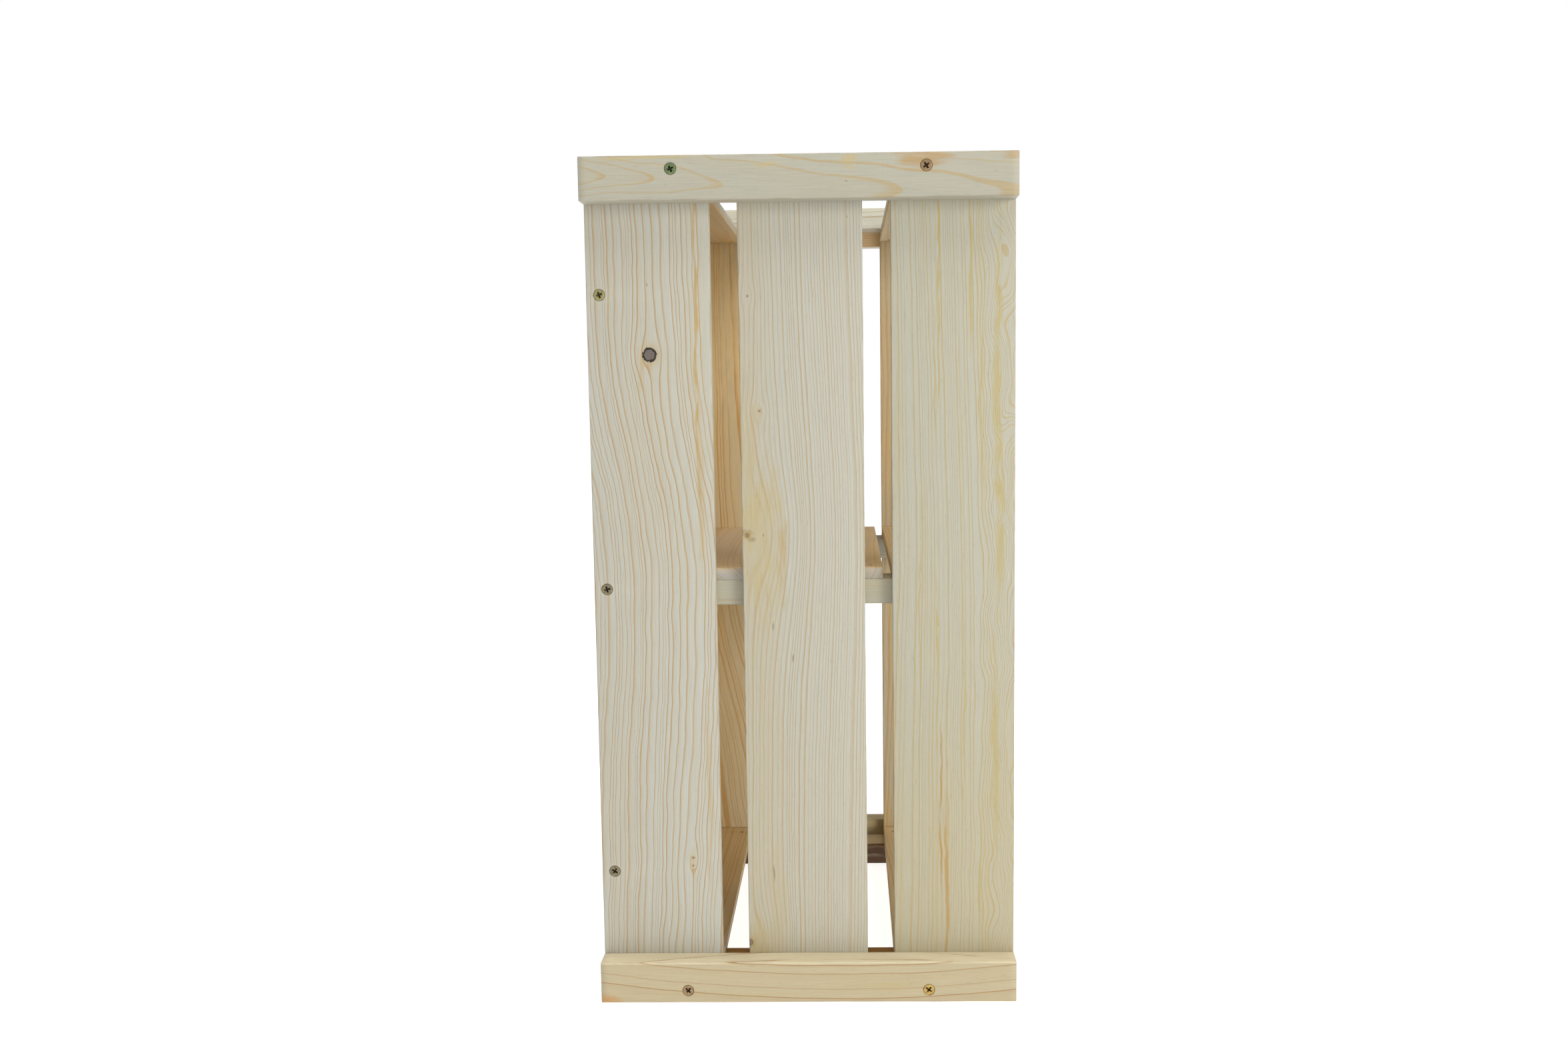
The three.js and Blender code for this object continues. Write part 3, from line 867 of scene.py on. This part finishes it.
# The looks of the sticks that the photo shows. What one leaves open comes from chance_look, then PINE.
LOOKS = {
    "left_side_board_back": {
        "seed": 11.0, "spacing": 3.0, "thin": 0.19, "pith": (-78.0, -38.0), "drift": 3.0, "wobble": 1.6,
        "sways": ((20.0, 5.0, 165.0), (-4.0, -160.0, -20.0)), "lines": 1.0, "luck": 0.6, "resin": 0.12,
        "blush": 0.12, "late": wood(184, 146, 90),
        "knots": (
            knot((166, 0), 7.5, 5.2, 1.6, dark=0.95, halo=0.7),
            knot((-198, -23.5), 3.2, 0.9, 2.0, dark=0.5),
            knot((-204, -23.0), 2.2, 0.8, 2.0, dark=0.5),
        ),
        "spots": (
            spot((200, -33), (150, 1.5), 0.95, ORANGE),
            # Painted shade: a warm band at the top of the board, the tint of the shadow under the upper
            # batten.
            spot((283, 0), (11, 70), 0.5, AMBER),
            spot((152, 6), (14, 3.5), 0.45, ORANGE),
            spot((70, -34), (70, 4.0), 0.35, ORANGE),
            spot((-201, -23.5), (10, 4.0), 0.45, BLUSH),
            spot((-150, -36), (90, 2.5), 0.4, ORANGE),
        ),
    },
    "left_side_board_middle": {
        "seed": 23.0, "spacing": 2.05, "thin": 0.30, "pith": (104.0, -52.0), "drift": 2.0, "wobble": 0.5,
        "lines": 0.60, "resin": 0.06, "blush": 0.08, "tint": (0.30, 8.0, 40.0, BLUSH), "foot": 0.15,
        "ragged": 1.0,
        "knots": (
            knot((38, 40), 26, 1.9, 1.9, dark=0.25, halo=1.6, soft=0.9),
            knot((-262, 43), 13, 2.6, 1.6, dark=0.3),
            knot((126, 30), 4, 0.9, 1.6, dark=0.2),
            knot((206, 37), 3, 0.7, 1.6, dark=0.4),
        ),
        "spots": (
            # Painted shade: a warm band at the top of the board, the tint of the shadow under the upper
            # batten.
            spot((283, 0), (11, 70), 0.5, AMBER),
            spot((30, 28), (66, 17), 0.62, AMBER),
            spot((22, 14), (42, 3.0), 0.50, ORANGE),
            spot((40, 40), (2.6, 6), 0.7, DASH),
            spot((35, 36), (2.0, 4), 0.7, DASH),
            spot((80, 38), (80, 8), 0.40, AMBER),
            spot((126, 31), (11, 4), 0.45, BLUSH),
            spot((-262, 36), (22, 10), 0.6, AMBER),
            spot((-240, 22), (60, 9), 0.35, AMBER),
            spot((-51, 8), (4.0, 1.0), 0.75, DASH),
            spot((-28, 22), (4.0, 0.9), 0.7, DASH),
            spot((-210, 24), (7.0, 0.8), 0.8, DASH),
            spot((-110, 31), (150, 1.2), 0.45, BLUSH),
        ),
    },
    "left_side_board_front": {
        "seed": 37.0, "spacing": 2.3, "thin": 0.26, "pith": (62.0, -30.0), "drift": 2.5, "wobble": 0.8,
        "flame": (17.0, -10.0, -40.0), "lines": 0.72, "resin": 0.22, "blush": 0.05, "foot": 0.38,
        "early": wood(193, 188, 169), "late": wood(190, 163, 104),
        "spots": (
            # Painted shade: a warm band at the top of the board, the tint of the shadow under the upper
            # batten.
            spot((283, 0), (11, 70), 0.5, AMBER),
            spot((235, 10), (120, 1.1), 0.95, HONEY),
            spot((150, 13), (60, 0.9), 0.80, HONEY),
            spot((225, -12), (80, 1.5), 0.85, HONEY),
            spot((130, -20), (60, 1.0), 0.70, HONEY),
            spot((150, -31), (120, 3.4), 0.75, HONEY),
            spot((40, -33), (70, 3.0), 0.70, HONEY),
            spot((-10, 24), (90, 0.9), 0.70, HONEY),
            spot((-60, 12), (70, 1.1), 0.80, HONEY),
            spot((-90, -8), (90, 1.0), 0.70, HONEY),
            spot((-170, 9), (90, 1.0), 0.95, STREAK),
            spot((-215, 5), (80, 1.7), 0.80, STREAK),
            spot((-120, -30), (100, 3.6), 0.65, HONEY),
            spot((-210, -20), (60, 1.4), 0.70, HONEY),
        ),
    },
    "left_upper_batten": {
        "seed": 41.0, "spacing": 5.6, "thin": 0.14, "pith": (-7.0, -12.0), "lean": -0.05, "tilt": 0.06,
        "drift": 5.0, "wobble": 2.9, "lines": 0.75, "luck": 0.5, "resin": 0.06, "blush": 0.10,
        "early": wood(185, 179, 160), "late": wood(188, 162, 112),
        "spots": (
            spot((86, 10), (20, 8), 0.90, wood(186, 154, 106)),
            spot((-19, 8), (11, 3), 0.7, AMBER),
            spot((35, 9), (6, 7), 0.7, AMBER),
            spot((146, 13), (9, 6), 0.85, wood(190, 160, 114)),
            spot((-100, 14), (45, 2), 0.6, AMBER),
        ),
    },
    "left_lower_batten": {
        "seed": 53.0, "spacing": 7.4, "thin": 0.13, "pith": (-70.0, -34.0), "bow": 9.0, "drift": 1.6,
        "wobble": 0.6, "lines": 0.95, "luck": 0.3, "resin": 0.15, "blush": 0.25,
        "early": wood(201, 183, 147), "late": wood(174, 136, 84),
        # Painted light: the top face is paler, as where light from above falls on it.
        "tint": (0.8, 13.0, 14.8, wood(236, 220, 184)),
        "spots": (
            spot((-147, -13), (14, 5), 0.9, wood(204, 158, 102)),
            spot((60, -3), (24, 4), 0.4, AMBER),
            # Painted light: a paler strip along the top face, where the light from above falls.
            spot((0, 16.5), (900, 2.6), 1.0, wood(226, 208, 170)),
        ),
    },
    "right_side_board_back": {
        "seed": 61.0, "spacing": 3.0, "thin": 0.28, "pith": (70.0, -36.0),
        "sways": ((-24.0, -230.0, -20.0),),
        # The inner face takes the inside colour strongly, partly painted warm bounce light.
        "drift": 3.0, "wobble": 1.2, "lines": 0.95, "inside": 0.9, "inner": (1.52, 1.23, 0.81, 1.0),
        "spots": (
            # Painted light: the upper compartment's part of the board is lighter, where more light
            # reaches it.
            spot((215, 0), (110, 90), 0.5, wood(222, 207, 168)),
            # Painted shade: the lower compartment's part of the board is darker.
            spot((-140, 0), (150, 90), 0.4, wood(188, 172, 138)),
        ),
    },
    "right_side_board_front": {
        "seed": 67.0, "spacing": 3.6, "pith": (20.0, -24.0), "blush": 0.6, "inside": 0.7,
    },
    "shelf_lath_left": {
        "seed": 71.0, "spacing": 6.5, "pith": (-60.0, -30.0), "wobble": 0.4, "lines": 0.6,
        "early": wood(186, 179, 156),
    },
    "shelf_board_back": {
        "seed": 73.0, "spacing": 3.4, "pith": (-8.0, 26.0), "lines": 0.35, "inside": 0.9,
        # Painted light: a paler base colour stands in for the light on the shelf's top inside the crate.
        "early": wood(214, 206, 196),
    },
    "lower_end_lath_right": {
        "seed": 79.0, "inside": 0.7,
        # Painted shade: a dark brown band along the inner side, under the end boards, where shadow falls.
        "spots": (spot((0, 15), (900, 2.6), 1.0, UNDER_BOARD_SHADE), spot((0, 16), (900, 3.0), 1.0, UNDER_BOARD_SHADE)),
    },
    # Painted shade: a dark warm brown, the shade and warm bounce light on its top face inside the crate.
    "lower_end_lath_left": {"seed": 83.0, "inside": 0.6, "early": wood(156, 116, 54)},
    # Painted light: a paler base colour stands in for light that reaches this lath inside the crate.
    "upper_end_lath_right": {"seed": 89.0, "early": wood(226, 222, 204)},
    # Painted light: the inner face is made far brighter, for the strong light from above that falls on
    # it.
    "right_upper_batten": {"seed": 97.0, "inside": 1.0, "inner": (2.1, 1.62, 1.12, 1.0)},
    "upper_end_board_back": {
        # Painted light: the face that looks into the upper compartment is warmed and brightened, for the
        # bounce light there.
        "seed": 103.0, "pith": (-30.0, -30.0), "inside": 0.9, "inner": (1.44, 1.10, 0.64, 1.0),
    },
    # Painted light: a warmer base colour, for the warm light on its inner face seen through the gap.
    "right_lower_batten": {"seed": 101.0, "early": wood(202, 182, 138)},
}
WARM = wood(208, 188, 152)
# How far the faces that look into the crate take the inside colour, partly painted bounce light.
INSIDE_WOOD_AND_BOUNCE_SHARE = 0.75
FACING_IN = ("end_board", "shelf_board", "back_board", "back_lath", "side_board")
KNOTTY_WIDTH = 50  # mm, over which a board may have a knot
KNOT_CHANCE = 0.55
LIVE_KNOT, DEAD_KNOT = 0.2, 0.9  # how dark each is


def mixed(first, second, share):
    return tuple(one + share * (other - one) for one, other in zip(first, second))


def chance_look(node, size):
    """What a stick's own look leaves open, made up at random but the same on every run."""
    rng = random.Random(node)
    faces_in = any(part in node for part in FACING_IN)
    length, width = size[0] / MM, size[1] / MM
    knots = ()
    if node not in LOOKS and width > KNOTTY_WIDTH and rng.random() < KNOT_CHANCE:
        at = (rng.uniform(-0.4, 0.4) * length, rng.uniform(-0.36, 0.36) * width)
        disc = rng.uniform(2.0, 5.0)
        knots = (knot(at, 1.6 * disc, disc, 1.7, dark=rng.choice((LIVE_KNOT, DEAD_KNOT))),)
    return {
        "seed": rng.uniform(100, 900),
        "spacing": rng.uniform(2.3, 4.0),
        "thin": rng.uniform(0.18, 0.3),
        "pith": (rng.uniform(-75, 75), -rng.uniform(16, 55)),
        "lean": rng.uniform(-0.03, 0.03),
        "tilt": rng.uniform(-0.04, 0.04),
        "bow": rng.uniform(-4, 4),
        "drift": rng.uniform(2, 5),
        "wobble": rng.uniform(0.4, 1.0),
        "lines": rng.uniform(0.55, 0.8),
        "resin": rng.uniform(0.05, 0.3),
        "blush": rng.uniform(0.1, 0.35),
        "inside": INSIDE_WOOD_AND_BOUNCE_SHARE if faces_in else 0.0,
        "knots": knots,
        "early": EARLY if node in LOOKS else mixed(EARLY, WARM, rng.random()),
    }


# ---------------------------------------------------------------- putting the crate together

SLOT_OF = {row["node"]: row["material_slot"] for row in frame["record"]["subparts"]}
TIMBERS = sorted(node for node, slot in SLOT_OF.items() if slot in ("board", "lath"))
SCREWS = sorted(node for node, slot in SLOT_OF.items() if slot == "screw")
SHELF_NAILS = sorted(node for node, slot in SLOT_OF.items() if slot == "nail")
AXES = (Vector((1, 0, 0)), Vector((0, 1, 0)), Vector((0, 0, 1)))
UP = AXES[2]
GROOVE_DEEP = 0.35 * MM
CRACKED = 0.8  # a knot at least this dark is dead, and has a crack round it


def lie_of(node):
    """(centre, size, along, out): where a stick lies, which way its grain runs and which way it faces."""
    low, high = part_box(node)
    centre, spans = (low + high) / 2, high - low
    thin, wide, long = sorted(range(3), key=lambda axis: spans[axis])
    middle = (cad_box[0] + cad_box[1]) / 2
    sign = 1 if centre[thin] > middle[thin] and not node.startswith("shelf") else -1
    along = -AXES[long] if long == 1 else AXES[long]
    return centre, (spans[long], spans[wide], spans[thin]), along, AXES[thin] * sign


def cad_fastener(node):
    """A screw or nail of the frame, with the place of its face."""
    low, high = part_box(node)
    spans = high - low
    axis = max(range(3), key=lambda i: spans[i])
    face = (low + high) / 2
    on_high_side = axis == 2 or node.startswith("right")
    face[axis] = high[axis] if on_high_side else low[axis]
    out = AXES[axis] if on_high_side else -AXES[axis]
    along = AXES[0] if axis == 2 else UP
    return {"name": node, "node": node, "length": spans[axis], "place": standing(face, along, out)}


def nail_rows(boards, laths, into, stagger=0.0):
    """Two nails wherever a board crosses a lath, driven the way that into points.

    The two are a stagger to each side of the lath's middle.
    """
    made = []
    depth = next(i for i in range(3) if into[i])
    for board in boards:
        centre, size, along, out = lie_of(board)
        grain = next(i for i in range(3) if along[i])
        across = out.cross(along)
        for lath in laths:
            low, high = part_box(lath)
            crossing = centre.copy()
            crossing[grain] = (low[grain] + high[grain]) / 2
            crossing[depth] -= into[depth] * (size[2] / 2 - SUNK)
            for letter, sign in (("a", -1), ("b", 1)):
                shift = across * sign * NAIL_ASIDE + along * sign * stagger
                place = standing(crossing + shift, along, -into)
                name = f"{board}_{lath}_nail_{letter}"
                made.append({"name": name, "node": None, "length": NAIL_LENGTH, "place": place})
    return made


def reaches(item, low, high):
    """Whether a fastener's line, which runs along an axis, enters a box."""
    top = item["place"].translation
    tip = item["place"] @ Vector((0, 0, -item["length"]))
    return all(min(top[i], tip[i]) < high[i] and max(top[i], tip[i]) > low[i] for i in range(3))


def knot_grooves(piece, size, look):
    """The ring-shaped cracks round the piece's dead knots, as cutters."""
    cutters = []
    for item in look["knots"]:
        if item["dark"] < CRACKED:
            continue
        disc = item["disc"] * MM
        points = [(disc - 0.35 * MM, -GROOVE_DEEP), (disc, -GROOVE_DEEP)]
        points += [(disc + 0.1 * MM, 1 * MM), (disc - 0.45 * MM, 1 * MM)]
        at = Vector((item["at"][0] * MM, item["at"][1] * MM, size[2] / 2))
        place = piece.matrix_world @ Matrix.Translation(at)
        cutters.append(link("groove", lathe("groove", points, SCREW_AROUND, hollow=True), place))
    return cutters


def build_timber(node, fasteners):
    """One stick, bored for each fastener that enters it, in place of its solid."""
    centre, size, along, out = lie_of(node)
    look = {**PINE, **chance_look(node, size), **LOOKS.get(node, {})}
    data = stick_mesh(node + "_wood", size, random.Random("shape " + node), look["ragged"])
    piece = link(node + "_wood", data, standing(centre, along, out))
    low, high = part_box(node)
    cutters = knot_grooves(piece, size, look)
    for item in fasteners:
        if reaches(item, low, high):
            mesh = bore_mesh(item["length"], item["name"] in SCREWS)
            cutters.append(link("bore", mesh, item["place"]))
    if cutters:
        cut(piece, cutters)
    for cutter in cutters:
        bpy.data.objects.remove(cutter)
    sharpen(piece, TIMBER_CREASE)
    piece.data.materials.clear()
    piece.data.materials.append(pine(node + "_pine", size, look))
    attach(piece, "root")
    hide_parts(node)


def finished_screw(length):
    """The mesh of one screw with its cross cut."""
    piece = link("whole_screw", screw_mesh(length), Matrix.Identity(4))
    arms = [slot_cutter(0), slot_cutter(math.pi / 2)]
    cut(piece, arms)
    sharpen(piece, SCREW_CREASE)
    data = piece.data
    for extra in [piece, *arms]:
        bpy.data.objects.remove(extra)
    return data


def place_fastener(item, shape, material, turn):
    """A copy of a shape at a fastener's place, turned about its own line."""
    data = shape.copy()
    data.materials.clear()
    data.materials.append(material)
    name = item["name"] + "_steel" if item["node"] else item["name"]
    piece = link(name, data, item["place"] @ Matrix.Rotation(turn, 4, "Z"))
    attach(piece, "root")
    if item["node"]:
        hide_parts(item["node"])


def place_screws(screws):
    shapes = {}
    for item in screws:
        rng = random.Random(item["name"])
        base, turn = SCREW_LOOKS.get(item["name"], (GOLD_ZINC, rng.uniform(0, 90)))
        length = round(item["length"], 4)
        if length not in shapes:
            shapes[length] = finished_screw(length)
        steel = metal(item["name"] + "_zinc", base, rng.uniform(0, 50), ZINC_ROUGH)
        place_fastener(item, shapes[length], steel, math.radians(turn))


def place_nails(nails):
    shape = nail_mesh()
    wire = metal("nail_wire", OLD_WIRE, 3.0, WIRE_ROUGH)
    for item in nails:
        turn = random.Random(item["name"]).uniform(0, math.tau)
        place_fastener(item, shape, wire, turn)


def timbers_named(*starts):
    return [node for node in TIMBERS if node.startswith(starts)]


def build_crate():
    screws = [cad_fastener(node) for node in SCREWS]
    nails = [cad_fastener(node) for node in SHELF_NAILS]
    nails += nail_rows(timbers_named("lower_end_board"), timbers_named("lower_end_lath"), -UP)
    nails += nail_rows(timbers_named("upper_end_board"), timbers_named("upper_end_lath"), UP)
    nails += nail_rows(timbers_named("back_board"), timbers_named("back_lath"), AXES[1], BACK_STAGGER)
    for node in TIMBERS:
        build_timber(node, screws + nails)
    place_screws(screws)
    place_nails(nails)


def lay_floor():
    half = FLOOR_SIDE / 2
    data = bpy.data.meshes.new("floor")
    corners = [(-half, -half, 0), (half, -half, 0), (half, half, 0), (-half, half, 0)]
    data.from_pydata(corners, [], [(0, 1, 2, 3)])
    material = bpy.data.materials.new("floor")
    Nodes(material).surface(**{
        "Base Color": FLOOR_BASE,
        "Roughness": FLOOR_ROUGH,
        "Emission Color": BACKDROP,
        "Emission Strength": FLOOR_GLOW,
    })
    data.materials.append(material)
    link("floor", data, Matrix.Identity(4))


make_camera()
light_scene()
light_room()
build_crate()
lay_floor()
